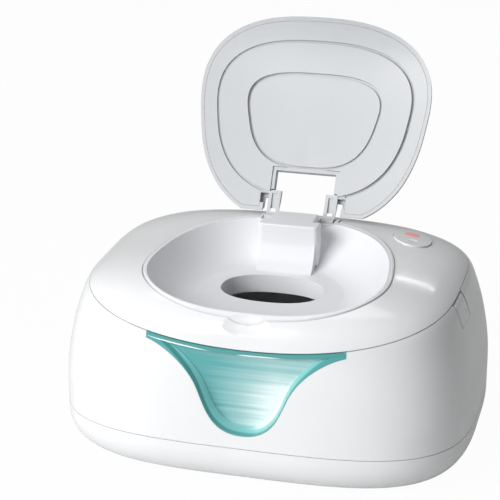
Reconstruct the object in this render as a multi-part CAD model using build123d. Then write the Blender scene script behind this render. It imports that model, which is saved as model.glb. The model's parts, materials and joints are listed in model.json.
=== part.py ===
from build123d import *
import math
import os

# Baby wipe warmer: a low oval tub with a hinged, heated cover, a flip lid over the
# dispensing bowl, a translucent night-light window, a power button and two release tabs.
# Millimetres. X to the right, Y to the back, Z up. The origin is on the ground, under
# the middle of the body. The flip lid is modelled open and the cover is shut.

# ---------------------------------------------------------------- driving dimensions
HALF_WIDTH = 124.0          # body, at its widest
HALF_DEPTH = 96.0
PLAN_EXPONENT = 3.5         # squareness of the body seen from above
DOME_TOP = 119.6            # crown of the cover
BASE_BOTTOM = 1.0           # the rubber feet stand this much proud
BASE_ROUND_TOP = 22.0       # height where the rounded foot of the body ends
BASE_ROUND_INSET = 20.0
DRAFT_START = 40.0          # the walls lean in above this height
DRAFT_X = 12.0              # lean at DRAFT_START + 60
DRAFT_Y = 8.0
SHOULDER_X_START = 96.0     # height where the side shoulder begins to round over
SHOULDER_Y_START = 92.0

WALL = 2.5                  # body and base
COVER_WALL = 2.4
BASE_SEAM = 26.6            # line between base cover and body shell
SEAM_GROOVE = 0.5
SEAM_FRONT = 85.8           # saddle-shaped line between body and cover, at x = 0
SEAM_RISE = 22.0            # how much higher it is at x = HALF_WIDTH
SEAM_GAP = 0.6

RIM_HALF_WIDTH = 72.1       # opening in the cover, and the outline of the flip lid
RIM_HALF_LENGTH = 65.0
RIM_CENTRE_Y = -19.6
RIM_EXPONENT = 2.65
RIM_EGG = 0.135             # narrower towards the back
RIM_GAP = 0.7
BEAD_PROUD = 0.4

BOWL_FLOOR = 97.5
BOWL_WALL = 1.8
MOUTH_HALF_WIDTH = 31.0     # dispensing opening
MOUTH_HALF_DEPTH = 21.5
MOUTH_CENTRE_Y = -24.0
MOUTH_EXPONENT = 2.3
NECK_WALL = 2.0

LID_LIFT = 0.9              # underside of the lid above the cover
LID_HEIGHT = 6.8            # top of the lid above the cover
LID_WALL = 2.2
LID_OPEN_ANGLE = 120.0
LID_AXIS_Y = 43.4
LID_AXIS_Z = 117.0
LID_REAR = 38.0             # rear ends of the two lobes, sloped to lie flat on the cover when open
LID_REAR_LOW_Z = 120.2
NOTCH_HALF = 19.2           # notch of the lid round the hinge plinth
NOTCH_FRONT = 11.5
LOBE_INNER = 25.0           # inner sides of the lobes, beside the hinge arms
LOBE_STEP = 29.0
KNUCKLE_RADIUS = 3.0
ARM_INNER = 14.3
ARM_OUTER = 22.0
LID_PIN_RADIUS = 1.5
PLINTH_HALF = 13.8
SHELF_HALF = 18.7
ARM_PATH_LOW = 118.4        # the hinge arms pass above this level
PIVOT_CLEARANCE = 0.06

COVER_AXIS_Y = 90.5         # rear hinge between cover and body
COVER_AXIS_Z = 90.0
COVER_HINGE_X = 55.0
COVER_PIN_RADIUS = 1.5

TUB_HALF_WIDTH = 98.0
TUB_HALF_DEPTH = 75.0
TUB_BOTTOM = 12.0
TUB_WALL = 2.0
TUB_TAPER = 4.0
FLANGE_TOP = 84.0
FLANGE_THICKNESS = 2.0
LEDGE_THICKNESS = 2.0

PLATE_BOTTOM = 86.4         # underside of the inner cover
PLATE_THICKNESS = 2.0
PLATE_HALF_WIDTH = 103.5
PLATE_HALF_DEPTH = 82.0

BUTTON_X = 72.7
BUTTON_Y = 37.6
BUTTON_Z = 114.75
BUTTON_NORMAL = (0.167, 0.073, 0.983)
BUTTON_TURN = 12.0
BUTTON_RX = 12.2
BUTTON_RY = 15.5
BUTTON_GAP = 0.35
BUTTON_PROUD = 0.9

TAB_FRONT = -34.0
TAB_REAR = -10.4
TAB_BOTTOM = 88.6
TAB_GAP = 0.5

SCREW_RADIUS = 1.5
SCREW_HEAD_RADIUS = 2.8
FOOT_RADIUS = 7.0
FOOT_X = 78.0
FOOT_Y = 50.0
BASE_SCREW_X = 52.0
BASE_SCREW_Y = 50.0
COVER_SCREWS = ((-86.0, -46.0), (86.0, -46.0), (-72.0, 62.0), (72.0, 62.0))

CONTACT_X = (-9.0, -3.0, 3.0, 9.0)
CONTACT_Y = 80.2
CONTACT_RADIUS = 0.9

JACK_X = 40.0
JACK_Z = 38.0
JACK_FACE = 95.2
JACK_SOCKET_RADIUS = 3.2
JACK_PIN_RADIUS = 1.0
JACK_PIN_LENGTH = 9.0

BODY_LEVELS = [1.0, 1.5, 3.0, 6.0, 10.0, 15.0, 22.0, 32.0, 45.0, 60.0, 75.0, 88.0, 94.0, 98.0,
               102.0, 106.0, 109.0, 112.0, 114.5, 116.5, 118.0, 119.0, 119.45]
TOP_LEVEL = BODY_LEVELS[-1]
HIGH = 140.0
FAR = 160.0


# ---------------------------------------------------------------- shape helpers
def half_sizes(z):
    """Half width and half depth of the outer form at a height."""
    u = min(1.0, max(0.0, (BASE_ROUND_TOP - z) / (BASE_ROUND_TOP - BASE_BOTTOM)))
    foot = BASE_ROUND_INSET * (1.0 - math.sqrt(1.0 - u * u))
    lean = (max(0.0, z - DRAFT_START) / 60.0) ** 2
    s_x = min(1.0, max(0.0, (z - SHOULDER_X_START) / (DOME_TOP - SHOULDER_X_START)))
    s_y = min(1.0, max(0.0, (z - SHOULDER_Y_START) / (DOME_TOP - SHOULDER_Y_START)))
    half_x = (HALF_WIDTH - foot - DRAFT_X * lean) * (1.0 - s_x ** 3.1) ** 0.5
    half_y = (HALF_DEPTH - foot - DRAFT_Y * lean) * (1.0 - s_y ** 2) ** 0.25
    return half_x, half_y


def oval_face(half_x, half_y, z, exponent, centre_y=0.0, egg=0.0, count=28, start=0.25):
    """Flat face bounded by a superellipse, narrower towards +Y by the egg factor."""
    points = []
    for i in range(count):
        angle = 2.0 * math.pi * (i / count + start)
        c = math.cos(angle)
        s = math.sin(angle)
        across = math.copysign(abs(c) ** (2.0 / exponent), c)
        along = math.copysign(abs(s) ** (2.0 / exponent), s)
        points.append(Vector(half_x * across * (1.0 - egg * along), centre_y + half_y * along, z))
    return Face(Wire([Edge.make_spline(points, periodic=True)]))


def oval_prism(half_x, half_y, low, high, exponent, centre_y=0.0, egg=0.0):
    outline = oval_face(half_x, half_y, low, exponent, centre_y, egg, start=0.0)
    return extrude(outline, high - low, dir=(0, 0, 1))


def body_prism(inset, low, high, at=None):
    """Straight-sided slice of the outer form, drawn in from its outline at one height."""
    half_x, half_y = half_sizes(low if at is None else at)
    return oval_prism(half_x - inset, half_y - inset, low, high, PLAN_EXPONENT)


def outer_form():
    return loft([oval_face(*half_sizes(z), z, PLAN_EXPONENT) for z in BODY_LEVELS])


def core_form(wall):
    """The outer form drawn in by a wall: in at the sides, up at the foot, down at the dome."""
    sections = []
    for z in (3.5, 5.0, 8.0, 12.0, 18.0, 26.0, 40.0, 60.0, 80.0, 92.0, 98.0, 103.0, 107.0, 110.0,
              112.5, 114.5, 116.0, TOP_LEVEL - wall):
        top_share = min(1.0, max(0.0, (z - 92.0) / 16.0))
        foot_share = min(1.0, max(0.0, (18.0 - z) / 12.0))
        half_x, half_y = half_sizes(z + wall * top_share - wall * 0.7 * foot_share)
        sections.append(oval_face(half_x - wall, half_y - wall, z, PLAN_EXPONENT))
    return loft(sections)


def rim_prism(inset, low=90.0, high=HIGH):
    return oval_prism(RIM_HALF_WIDTH - inset, RIM_HALF_LENGTH - inset, low, high,
                      RIM_EXPONENT, RIM_CENTRE_Y, RIM_EGG)


def block(x0, x1, y0, y1, z0, z1):
    return Pos((x0 + x1) / 2, (y0 + y1) / 2, (z0 + z1) / 2) * Box(x1 - x0, y1 - y0, z1 - z0)


def rod_z(x, y, z0, z1, radius):
    return Pos(x, y, (z0 + z1) / 2) * Cylinder(radius, z1 - z0)


def rod_x(y, z, x0, x1, radius):
    return Pos((x0 + x1) / 2, y, z) * Rot(0, 90, 0) * Cylinder(radius, x1 - x0)


def rod_y(x, z, y0, y1, radius):
    return Pos(x, (y0 + y1) / 2, z) * Rot(90, 0, 0) * Cylinder(radius, y1 - y0)


def wire_run(points, radii, radius):
    """Insulated wire along straight runs joined by tangent arcs."""
    path = FilletPolyline(*points, radius=radii)
    start = Plane(origin=path @ 0, z_dir=path % 0)
    return sweep(start * Circle(radius), path=path)


def dome_height(x, y):
    """Height of the outer form over a point of the ground plane."""
    low = 40.0
    high = DOME_TOP
    for _ in range(50):
        z = (low + high) / 2
        half_x, half_y = half_sizes(z)
        inside = (abs(x) / half_x) ** PLAN_EXPONENT + (abs(y) / half_y) ** PLAN_EXPONENT < 1.0
        low, high = (z, high) if inside else (low, z)
    return (low + high) / 2


def dome_sheet(x0, x1, y0, y1):
    """The dome over a rectangle, as one smooth surface."""
    across = round((x1 - x0) / 8)
    along = round((y1 - y0) / 5)
    rows = []
    for i in range(across + 1):
        x = x0 + (x1 - x0) * i / across
        ys = [y0 + (y1 - y0) * j / along for j in range(along + 1)]
        rows.append([Vector(x, y, dome_height(x, y)) for y in ys])
    return Face.make_surface_from_array_of_points(rows)


def dome_slab(low, high, sheet=None):
    """Slab between two copies of the dome, moved up by low and by high."""
    base = lid_sheet if sheet is None else sheet
    return extrude(base.moved(Location((0, 0, low))), high - low, dir=(0, 0, 1))


def below_seam(offset):
    """Everything under the saddle-shaped seam, moved up by the offset."""
    end = HALF_WIDTH * 1.2
    rise = SEAM_RISE * (end / HALF_WIDTH) ** 2
    level = SEAM_FRONT + offset
    curve = Bezier((-end, level + rise), (0, level - rise), (end, level + rise))
    sides = Polyline((end, level + rise), (end, -20), (-end, -20), (-end, level + rise))
    return extrude(Plane.XZ * make_face([curve, sides]), FAR, both=True)


def one_solid(shape):
    """The largest solid of a result, without stray slivers."""
    return max(shape.solids(), key=lambda s: s.volume)


def tidy_round(shape, radius, chooser):
    """Round chosen edges by the largest radius that the shape takes."""
    for size in (radius, radius * 0.7, radius * 0.4):
        try:
            done = fillet(chooser(shape), size)
            if done.is_valid:
                return done
        except Exception:
            continue
    return shape


outer = outer_form()
core = core_form(WALL)
wall = outer - core
lid_sheet = dome_sheet(-80, 80, -87, 63)
button_sheet = dome_sheet(48, 97, 8, 68)


# ---------------------------------------------------------------- night-light window
WINDOW_HALF = 58.0          # half width where it meets the seam
WINDOW_END = 86.6           # height of the lower corner of its short vertical ends
WINDOW_BOTTOM = 34.8
WINDOW_LEAN = 4.9           # the wall leans in by this angle over the window
PANEL_FRONT = -88.0         # recessed panel of the window
PANEL_BACK = -86.4
DIFFUSER_Y = -86.0
BOARD_LOW = 27.4            # underside of the night-light board
WINDOW_WAIST = (27.4, 62.5)  # where the sides are steepest


def window_side(grow, mirror):
    """The two curves of one side, from the corner at the top to the middle of the bottom."""
    waist = (WINDOW_WAIST[0] + 0.9 * grow, WINDOW_WAIST[1] - 0.45 * grow)
    bottom = WINDOW_BOTTOM - grow
    sweep = [(WINDOW_HALF + grow, WINDOW_END - 0.9 * grow), (47.0 + 0.5 * grow, 84.0 - grow),
             (33.5 + 0.8 * grow, 74.5 - 0.6 * grow), waist]
    belly = [waist, (22.2 + 0.9 * grow, 52.3 - 0.45 * grow), (19.5 + 0.7 * grow, bottom), (0.0, bottom)]
    return [Bezier(*[(mirror * x, z) for x, z in curve]) for curve in (sweep, belly)]


def window_outline(grow, y, lean=0.0):
    """Bell-shaped face in a plane at y, open upwards past the seam."""
    half = WINDOW_HALF + grow
    low = WINDOW_END - 0.9 * grow
    rim = Polyline((-half, low), (-half, 112), (half, 112), (half, low))
    outline = make_face(window_side(grow, 1) + window_side(grow, -1) + [rim])
    return (Plane.XZ.offset(-y) * outline).rotate(Axis((0, y, WINDOW_BOTTOM), (1, 0, 0)), -lean)


def window_prism(grow):
    return extrude(window_outline(grow, -70), 45, dir=(0, -1, 0))


def window_tray(front_grow, back_grow, back, top):
    """Tapered block behind the window, closed at the top along the seam's curve."""
    front = window_outline(front_grow, -97.5, WINDOW_LEAN)
    return loft([front, window_outline(back_grow, back)], ruled=True) & below_seam(top)


def make_window_lens():
    hollow = core_form(WALL + 1.7)
    glass = window_prism(0) & (outer - hollow) & below_seam(-0.4)
    tray = window_tray(0.0, -1.9, PANEL_BACK, -1.7) & outer
    flange = (window_prism(2.5) & (core_form(WALL + 0.05) - hollow)
              & below_seam(-1.2) & block(-70, 70, -100, -60, 20, 81.5))
    recess = window_tray(-0.15, -3.4, PANEL_FRONT, -2.8)
    return one_solid(glass + tray + flange - recess)


def make_light_diffuser():
    panel = window_prism(-2.0) & block(-60, 60, DIFFUSER_Y, DIFFUSER_Y + 1.6, 20, 79.4)
    for sx in (-1, 1):
        panel = panel + block(sx * 22 - 3, sx * 22 + 3, DIFFUSER_Y, DIFFUSER_Y + 1.6, BOARD_LOW + 1.6, 58)
    for i in range(13):
        groove_z = 37.0 + 3.1 * i
        panel = panel - block(-60, 60, DIFFUSER_Y - 1, DIFFUSER_Y + 0.6, groove_z, groove_z + 0.9)
    return one_solid(panel)


# ---------------------------------------------------------------- base
def make_base_cover():
    shell = wall & block(-FAR, FAR, -FAR, FAR, 0, BASE_SEAM - SEAM_GROOVE / 2)
    lip = body_prism(WALL + 0.5, 24.6, 31, at=BASE_SEAM) - body_prism(WALL + 2.1, 24.6, 31, at=BASE_SEAM)
    lip = lip - block(-46, 2, 80, 100, BASE_SEAM + SEAM_GROOVE / 2, 32)
    seat = (body_prism(1.2, 24, BASE_SEAM + SEAM_GROOVE / 2, at=BASE_SEAM)
            - body_prism(WALL + 1.0, 24, BASE_SEAM + SEAM_GROOVE / 2, at=BASE_SEAM))
    shell = shell + lip + seat
    for sx in (-1, 1):
        for sy in (-1, 1):
            x = sx * BASE_SCREW_X
            y = sy * BASE_SCREW_Y
            shell = shell + rod_z(x, y, 3, 6.5, 5.5)
            shell = shell - rod_z(x, y, 0, 3.0, SCREW_HEAD_RADIUS + 0.4)
            shell = shell - rod_z(x, y, 0, 8, SCREW_RADIUS + 0.2)
            shell = shell - rod_z(sx * FOOT_X, sy * FOOT_Y, 0, BASE_BOTTOM + 0.8, FOOT_RADIUS + 0.1)
    for sx in (-1, 1):
        shell = shell + rod_z(sx * 24, -85, 6.5, BOARD_LOW, 2.6)
    return one_solid(shell)


def make_rubber_feet():
    feet = []
    for sx in (-1, 1):
        for sy in (-1, 1):
            pad = rod_z(sx * FOOT_X, sy * FOOT_Y, 0, BASE_BOTTOM + 0.8, FOOT_RADIUS)
            feet.append(tidy_round(pad, 0.5, lambda s: s.edges().group_by(Axis.Z)[0]))
    return Compound(children=feet)


def pan_screw(x, y, head_low, length):
    head = tidy_round(rod_z(x, y, head_low, head_low + 1.8, SCREW_HEAD_RADIUS), 0.7,
                      lambda s: s.edges().group_by(Axis.Z)[0])
    shank = rod_z(x, y, head_low + 1.8, head_low + 1.8 + length, SCREW_RADIUS)
    slot = block(x - 1.7, x + 1.7, y - 0.3, y + 0.3, head_low - 1, head_low + 0.9)
    cross = block(x - 0.3, x + 0.3, y - 1.7, y + 1.7, head_low - 1, head_low + 0.9)
    return head + shank - slot - cross


def make_base_screws():
    return Compound(children=[pan_screw(sx * BASE_SCREW_X, sy * BASE_SCREW_Y, 1.2, 9.0)
                              for sx in (-1, 1) for sy in (-1, 1)])


# ---------------------------------------------------------------- body shell
def hinge_ear_spans():
    """The four body ears, each as its two ends along X."""
    spans = []
    for sx in (-1, 1):
        for near, far in ((-6.8, -3.6), (3.6, 6.8)):
            spans.append((sx * COVER_HINGE_X + near, sx * COVER_HINGE_X + far))
    return spans


def tab_space(side, gap):
    x0, x1 = sorted((side * 100, side * 130))
    return block(x0, x1, TAB_FRONT - gap, TAB_REAR + gap, TAB_BOTTOM - min(gap, 0.2), 110)


def make_body_shell():
    shell = wall - window_prism(0.15)
    shell = shell & below_seam(-SEAM_GAP / 2)
    shell = shell & block(-FAR, FAR, -FAR, FAR, BASE_SEAM + SEAM_GROOVE / 2, HIGH)
    ledge_top = FLANGE_TOP - FLANGE_THICKNESS
    ledge = (body_prism(WALL - 0.6, ledge_top - LEDGE_THICKNESS, ledge_top)
             - body_prism(WALL + 7.0, ledge_top - LEDGE_THICKNESS, ledge_top))
    ledge = ledge - block(-64, 64, -FAR, -60, 60, 100)
    shell = shell + ledge
    for x0, x1 in hinge_ear_spans():
        arm = rod_x(COVER_AXIS_Y, COVER_AXIS_Z, x0, x1, 3.2)
        arm = arm + block(x0, x1, COVER_AXIS_Y - 4.0, COVER_AXIS_Y + 2.2, COVER_AXIS_Z - 9, COVER_AXIS_Z)
        shell = shell + arm
    for sx in (-1, 1):
        knuckle = rod_x(COVER_AXIS_Y, COVER_AXIS_Z, sx * COVER_HINGE_X - 3.6, sx * COVER_HINGE_X + 3.6, 3.7)
        shell = shell - knuckle
        shell = shell - block(sx * COVER_HINGE_X - 3.6, sx * COVER_HINGE_X + 3.6, COVER_AXIS_Y - 8,
                              COVER_AXIS_Y + 6, COVER_AXIS_Z, 110)
        hole = rod_x(COVER_AXIS_Y, COVER_AXIS_Z, sx * COVER_HINGE_X - 8, sx * COVER_HINGE_X + 8,
                     COVER_PIN_RADIUS)
        shell = shell - hole
        shell = shell - tab_space(sx, TAB_GAP)
        x0, x1 = sorted((sx * 105.2, sx * 115))
        for y0, y1 in ((-39.5, -35.5), (-9.0, -5.0)):
            shell = shell + (block(x0, x1, y0, y1, 94, 96) & core_form(WALL - 0.8))
    shell = shell - rod_y(JACK_X, JACK_Z, 85, 110, 4.5)
    return one_solid(shell)


def tub_form(inset, low, top):
    """Tapered tub with a rounded bottom edge, drawn in by the inset."""
    half_x = TUB_HALF_WIDTH - inset
    half_y = TUB_HALF_DEPTH - inset
    sections = []
    for height, draw_in in ((0.0, 6.5), (0.6, 4.4), (1.8, 2.6), (4.0, 1.1), (7.5, 0.2), (10.0, 0.0)):
        shrink = TUB_TAPER + draw_in
        sections.append(oval_face(half_x - shrink, half_y - shrink, low + height, PLAN_EXPONENT))
    sections.append(oval_face(half_x, half_y, top, PLAN_EXPONENT))
    return loft(sections, ruled=True)


def make_inner_tub():
    outside = tub_form(0.0, TUB_BOTTOM, FLANGE_TOP - 1.0)
    inside = tub_form(TUB_WALL, TUB_BOTTOM + TUB_WALL, FLANGE_TOP + 1.0)
    flange = body_prism(5.0, FLANGE_TOP - FLANGE_THICKNESS, FLANGE_TOP) - block(-62, 62, -FAR, -83.4, 80, 90)
    tub = outside + flange
    for sx in (-1, 1):
        for sy in (-1, 1):
            tub = tub + rod_z(sx * BASE_SCREW_X, sy * BASE_SCREW_Y, 6.5, TUB_BOTTOM + 1, 4.5)
    tub = tub - inside
    for sx in (-1, 1):
        for sy in (-1, 1):
            tub = tub - rod_z(sx * BASE_SCREW_X, sy * BASE_SCREW_Y, 6.0, TUB_BOTTOM + 0.4, SCREW_RADIUS)
    for x in CONTACT_X:
        tub = tub - rod_z(x, CONTACT_Y, 75, 90, CONTACT_RADIUS + 0.5)
    return one_solid(tub)


def make_cover_hinge_pins():
    return Compound(children=[rod_x(COVER_AXIS_Y, COVER_AXIS_Z, sx * COVER_HINGE_X - 6.8,
                                    sx * COVER_HINGE_X + 6.8, COVER_PIN_RADIUS) for sx in (-1, 1)])


# ---------------------------------------------------------------- base electrics
def make_light_board():
    return block(-32, 32, -88.5, -79.5, BOARD_LOW, BOARD_LOW + 1.6)


def make_light_leds():
    return Compound(children=[block(x - 2.5, x + 2.5, -87.5, -82.5, BOARD_LOW + 1.6, BOARD_LOW + 3.4)
                              for x in (-16, 0, 16)])


def make_power_jack():
    housing = block(JACK_X - 4.6, JACK_X + 4.6, 81, 92.0, JACK_Z - 5.6, JACK_Z + 5.6)
    nose = rod_y(JACK_X, JACK_Z, 91, JACK_FACE, 4.3)
    socket = rod_y(JACK_X, JACK_Z, JACK_FACE - 10, JACK_FACE + 1, JACK_SOCKET_RADIUS)
    return one_solid(housing + nose - socket)


def make_jack_pin():
    low = JACK_FACE - 10
    return rod_y(JACK_X, JACK_Z, low, low + JACK_PIN_LENGTH, JACK_PIN_RADIUS)


def make_contact_block():
    housing = block(-12.5, 12.5, 77.4, 82.7, 70, FLANGE_TOP - FLANGE_THICKNESS)
    for x in CONTACT_X:
        housing = housing - rod_z(x, CONTACT_Y, 72, 90, CONTACT_RADIUS + 0.05)
    return housing


def make_contact_pins():
    return Compound(children=[rod_z(x, CONTACT_Y, 72, 85.9, CONTACT_RADIUS) for x in CONTACT_X])


def make_supply_wires():
    runs = []
    for i in (0, 1):
        z = JACK_Z - 2 + 4 * i
        points = [(JACK_X - 4.6, 83, z), (JACK_X - 16 - 5 * i, 82, z), (9 * i, 80, 58), (9 * i, 80, 70)]
        runs.append(wire_run(points, [5, 8], 0.8))
    return Compound(children=runs)


def make_light_wires():
    runs = []
    for i in (0, 1):
        x = JACK_X - 4 - 3 * i
        runs.append(wire_run([(x, 82, JACK_Z - 5.6), (x, 82, 8), (x, -78, 8), (x - 22, -81, BOARD_LOW)],
                             [6, 6], 0.7))
    return Compound(children=runs)


# ---------------------------------------------------------------- cover
SCOOP_RX = 29.0
SCOOP_RY = 18.0
SCOOP_RZ = 15.5
SCOOP_Y = -100.5
SCOOP_Z = 105.8


def scoop_form(grow):
    """Finger scoop in the front of the cover, an ellipsoid."""
    ball = scale(Sphere(1.0), by=(SCOOP_RX + grow, SCOOP_RY + grow, SCOOP_RZ + grow))
    return Pos(0, SCOOP_Y, SCOOP_Z) * ball


def button_plane(local_z=0.0):
    plane = Plane(origin=(BUTTON_X, BUTTON_Y, BUTTON_Z), x_dir=(1, 0, -0.17), z_dir=BUTTON_NORMAL)
    return plane.rotated((0, 0, BUTTON_TURN)).offset(local_z)


def button_prism(shrink, low, high):
    face = button_plane(low) * Ellipse(BUTTON_RX - shrink, BUTTON_RY - shrink)
    return extrude(face, high - low)


def pocket_box(grow):
    """Hinge pocket at the back of the bowl."""
    return block(-22.8 - grow, 22.8 + grow, 39.4 - grow, 49.0 + grow, 113.2 - grow, HIGH)


def make_cover_shell():
    cover = (outer - core_form(COVER_WALL)) - below_seam(SEAM_GAP / 2)
    ledge = (rim_prism(-2.6) & dome_slab(-4.1, -1.9)) - rim_prism(2.0)
    ledge = ledge - block(-40, 40, -100, -60, 80, 120) - block(-26, 26, 20, 60, 80, 130)
    ledge = ledge - bowl_cavity(BOWL_WALL + 0.4, BOWL_FLOOR - BOWL_WALL)
    pad = (scoop_form(2.2) & outer) - below_seam(SEAM_GAP / 2) - rim_prism(-1.2)
    cover = cover + pad
    cover = cover - rim_prism(0) - (pocket_box(2.9) & block(-30, 30, 30, 60, 100, 130))
    cover = cover + ledge - scoop_form(0)
    for x, y in COVER_SCREWS:
        cover = cover + (rod_z(x, y, PLATE_BOTTOM + PLATE_THICKNESS, 116, 4.0) & outer)
        cover = cover - rod_z(x, y, 80, 99, SCREW_RADIUS)
    seated = (Align.CENTER, Align.CENTER, Align.MIN)
    posts = [button_plane(-10) * Pos(px, py) * Cylinder(2.2, 9.5, align=seated)
             for px, py in ((-12.5, -14), (18, -14), (-18, 14))]
    for post in posts:
        cover = cover + (post & dome_slab(-30, -0.5, button_sheet))
    cover = cover - button_prism(0, -6, 12)
    for x0, x1 in hinge_ear_spans():
        cover = cover - rod_x(COVER_AXIS_Y, COVER_AXIS_Z, x0 - 0.4, x1 + 0.4, 4.2)
    for sx in (-1, 1):
        x0 = sx * COVER_HINGE_X - 3.2
        x1 = sx * COVER_HINGE_X + 3.2
        arm = rod_x(COVER_AXIS_Y, COVER_AXIS_Z, x0, x1, 3.2)
        arm = arm + block(x0, x1, COVER_AXIS_Y - 5.0, COVER_AXIS_Y, COVER_AXIS_Z, COVER_AXIS_Z + 4.2)
        cover = cover + arm
        cover = cover - rod_x(COVER_AXIS_Y, COVER_AXIS_Z, x0 - 1, x1 + 1, COVER_PIN_RADIUS + PIVOT_CLEARANCE)
    return one_solid(cover)


def bowl_cavity(grow, low=BOWL_FLOOR):
    """The hollow of the bowl: a flat floor that curves up to the bead."""
    sections = []
    for share in (0.0, 0.04, 0.12, 0.25, 0.42, 0.62, 0.82, 1.0, 1.3, 1.7):
        half_x = 42.0 + 27.4 * (share / 1.08) ** 0.45
        front = -68.0 - 14.0 * (share / 0.435) ** 0.35
        rear = 8.0 + 31.5 * (share / 1.26) ** 0.5
        z = low + 17.0 * share
        sections.append(oval_face(half_x + grow, (rear - front) / 2 + grow, z, RIM_EXPONENT,
                                  (front + rear) / 2, RIM_EGG))
    return loft(sections)


def mouth_prism(grow, low, high):
    return oval_prism(MOUTH_HALF_WIDTH + grow, MOUTH_HALF_DEPTH + grow, low, high, MOUTH_EXPONENT,
                      MOUTH_CENTRE_Y)


def make_dispensing_bowl():
    inside_rim = rim_prism(RIM_GAP) + (pocket_box(2.2) & block(-30, 30, 30, 60, 100, 130))
    top = dome_slab(-60, BEAD_PROUD)
    bowl = bowl_cavity(BOWL_WALL, BOWL_FLOOR - BOWL_WALL) + dome_slab(-1.9, 8)
    bowl = one_solid(bowl & inside_rim & top)
    bowl = bowl + (scoop_form(2.2) & rim_prism(RIM_GAP) & top)
    bowl = bowl - bowl_cavity(0)
    bowl = bowl + mouth_prism(NECK_WALL, PLATE_BOTTOM, BOWL_FLOOR)
    bowl = bowl - mouth_prism(0, 80, 110)
    bowl = bowl - scoop_form(0)
    # hinge plinth, filling the notch of the closed lid, with the pocket of the arms
    shelf = block(-SHELF_HALF, SHELF_HALF, NOTCH_FRONT + 1.5, 23.4, 100, HIGH)
    shelf = shelf + block(-PLINTH_HALF, PLINTH_HALF, NOTCH_FRONT + 1.5, LID_AXIS_Y, 100, HIGH)
    shelf = shelf & dome_slab(-60, 5.4) & bowl_cavity(BOWL_WALL, BOWL_FLOOR - BOWL_WALL)
    shelf = tidy_round(one_solid(shelf), 3.0, lambda s: s.edges().filter_by(Axis.Z).group_by(Axis.Y)[0])
    shelf = tidy_round(one_solid(shelf), 1.2, lambda s: s.faces().sort_by(Axis.Z)[-1].edges())
    sweep = Bezier((NOTCH_FRONT + 1.8, 114.0), (9.5, 104.0), (6.0, 99.0), (0.5, BOWL_FLOOR - 0.3))
    back = Polyline((0.5, BOWL_FLOOR - 0.3), (0.5, 96.0), (16.0, 96.0), (16.0, 114.0),
                    (NOTCH_FRONT + 1.8, 114.0))
    ramp = extrude(Plane.YZ * make_face([sweep, back]), SHELF_HALF - 1.6, both=True)
    bowl = bowl + ramp
    bowl = bowl + ((pocket_box(2.2) - pocket_box(0)) & block(-40, 40, 30, 60, 105, HIGH) & top)
    bowl = bowl - pocket_box(0) - block(-22.8, 22.8, 30, 49, ARM_PATH_LOW, HIGH)
    knuckle = rod_x(LID_AXIS_Y, LID_AXIS_Z, -PLINTH_HALF, PLINTH_HALF, KNUCKLE_RADIUS)
    knuckle = knuckle + block(-PLINTH_HALF, PLINTH_HALF, 38.0, LID_AXIS_Y + KNUCKLE_RADIUS, 112, LID_AXIS_Z)
    knuckle = knuckle + block(-PLINTH_HALF, PLINTH_HALF, 36.0, LID_AXIS_Y, 114, LID_AXIS_Z + KNUCKLE_RADIUS)
    shelf = shelf - block(-40, 40, 38.0, 60, 90, HIGH)
    bowl = bowl + shelf + knuckle
    bowl = bowl - rod_x(LID_AXIS_Y, LID_AXIS_Z, -30, 30, LID_PIN_RADIUS)
    return one_solid(bowl)


def make_inner_cover():
    plate = oval_prism(PLATE_HALF_WIDTH, PLATE_HALF_DEPTH, PLATE_BOTTOM, PLATE_BOTTOM + PLATE_THICKNESS,
                       PLAN_EXPONENT)
    rib = (oval_prism(PLATE_HALF_WIDTH, PLATE_HALF_DEPTH, PLATE_BOTTOM, 91.5, PLAN_EXPONENT)
           - oval_prism(PLATE_HALF_WIDTH - 1.8, PLATE_HALF_DEPTH - 1.8, PLATE_BOTTOM, 92, PLAN_EXPONENT))
    plate = plate + rib
    plate = plate - mouth_prism(NECK_WALL + 0.4, 80, 95)
    plate = plate + (mouth_prism(NECK_WALL + 2.2, PLATE_BOTTOM, 92) - mouth_prism(NECK_WALL + 0.4, 80, 95))
    plate = plate - rod_z(46, 20, 80, 95, 8.2)
    for x, y in COVER_SCREWS:
        plate = plate - rod_z(x, y, 80, 90, SCREW_RADIUS + 0.2)
    for sx in (-1, 1):
        x0, x1 = sorted((sx * 100.5, sx * 102.8))
        hook = block(x0, x1, -39.0, -35.9, PLATE_BOTTOM, 91.5) + block(x0, x1, -8.6, -5.4, PLATE_BOTTOM, 91.5)
        tip0, tip1 = sorted((sx * 101.0, sx * 104.8))
        hook = hook + block(tip0, tip1, -39.0, -35.9, 88.4, 91.5) + block(tip0, tip1, -8.6, -5.4, 88.4, 91.5)
        plate = plate + hook
    return one_solid(plate)


def make_cover_seal():
    band = (oval_prism(101.8, 78.8, FLANGE_TOP + 0.1, PLATE_BOTTOM, PLAN_EXPONENT)
            - oval_prism(99.0, 76.0, FLANGE_TOP + 0.1, PLATE_BOTTOM, PLAN_EXPONENT))
    return band


def make_heater_film():
    film = oval_prism(80, 56, PLATE_BOTTOM - 0.5, PLATE_BOTTOM, PLAN_EXPONENT)
    return film - mouth_prism(NECK_WALL + 4.5, 80, 95) - rod_z(46, 20, 80, 95, 8.2)


def make_heater_plate():
    plate = oval_prism(82, 58, PLATE_BOTTOM - 2.0, PLATE_BOTTOM - 0.5, PLAN_EXPONENT)
    return plate - mouth_prism(NECK_WALL + 3.5, 80, 95)


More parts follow.
